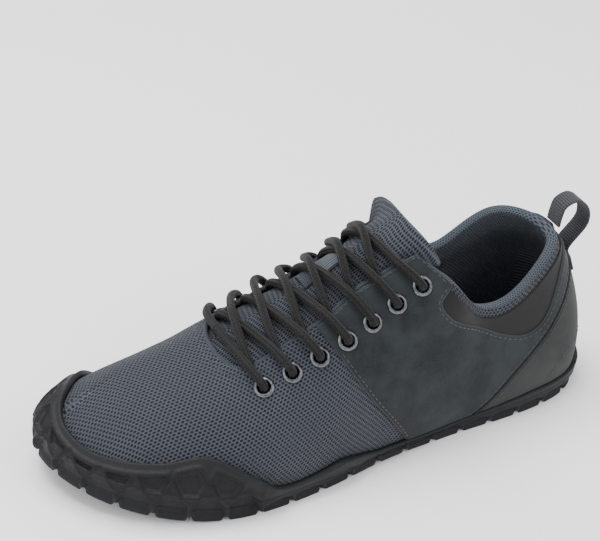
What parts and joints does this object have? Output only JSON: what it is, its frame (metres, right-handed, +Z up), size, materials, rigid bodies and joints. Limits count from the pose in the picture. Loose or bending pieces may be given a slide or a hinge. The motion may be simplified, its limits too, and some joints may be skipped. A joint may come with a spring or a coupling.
{
  "type": "barefoot shoe",
  "caption": "Low lace-up barefoot shoe for the left foot, with a wide toe box, a thin lugged rubber sole that climbs round the toe, a padded collar and a pull loop at the heel.",
  "frame": {"origin": "on the floor, at the middle of the lug under the middle of the heel", "axes": "+X along the foot towards the toe, +Y towards the outer side of the foot, +Z up"},
  "size_m": [0.2897, 0.107, 0.1137],
  "materials": {
    "rubber_sole": "matte dark charcoal",
    "foam_insole": "knitted top cloth",
    "mesh_cloth": "open knitted mesh, slate grey-blue",
    "suede": "nubuck, dark green-grey",
    "smooth_leather": "smooth, satin",
    "tongue_cloth": "padded mesh",
    "webbing_light": "ribbed webbing",
    "webbing_dark": "ribbed webbing",
    "lace_cord": "round braided cord",
    "eyelet_metal": "satin nickel"
  },
  "bodies": {
    "root": {"outsole": "rubber_sole", "insole": "foam_insole", "upper": "mesh_cloth", "quarter_lateral": "suede", "quarter_medial": "suede", "heel_counter": "suede", "collar_panel_lateral": "smooth_leather", "collar_panel_medial": "smooth_leather", "tongue": "tongue_cloth", "tongue_loop": "webbing_light", "pull_loop": "webbing_dark", "lace_bar": "lace_cord", "lace_cross_1": "lace_cord", "lace_cross_2": "lace_cord", "lace_cross_3": "lace_cord", "lace_cross_4": "lace_cord", "lace_cross_5": "lace_cord", "lace_cross_6": "lace_cord", "eyelet_lateral_1": "eyelet_metal", "eyelet_lateral_2": "eyelet_metal", "eyelet_lateral_3": "eyelet_metal", "eyelet_lateral_4": "eyelet_metal", "eyelet_lateral_5": "eyelet_metal", "eyelet_lateral_6": "eyelet_metal", "eyelet_lateral_7": "eyelet_metal", "eyelet_medial_1": "eyelet_metal", "eyelet_medial_2": "eyelet_metal", "eyelet_medial_3": "eyelet_metal", "eyelet_medial_4": "eyelet_metal", "eyelet_medial_5": "eyelet_metal", "eyelet_medial_6": "eyelet_metal", "eyelet_medial_7": "eyelet_metal"}
  },
  "joints": []
}
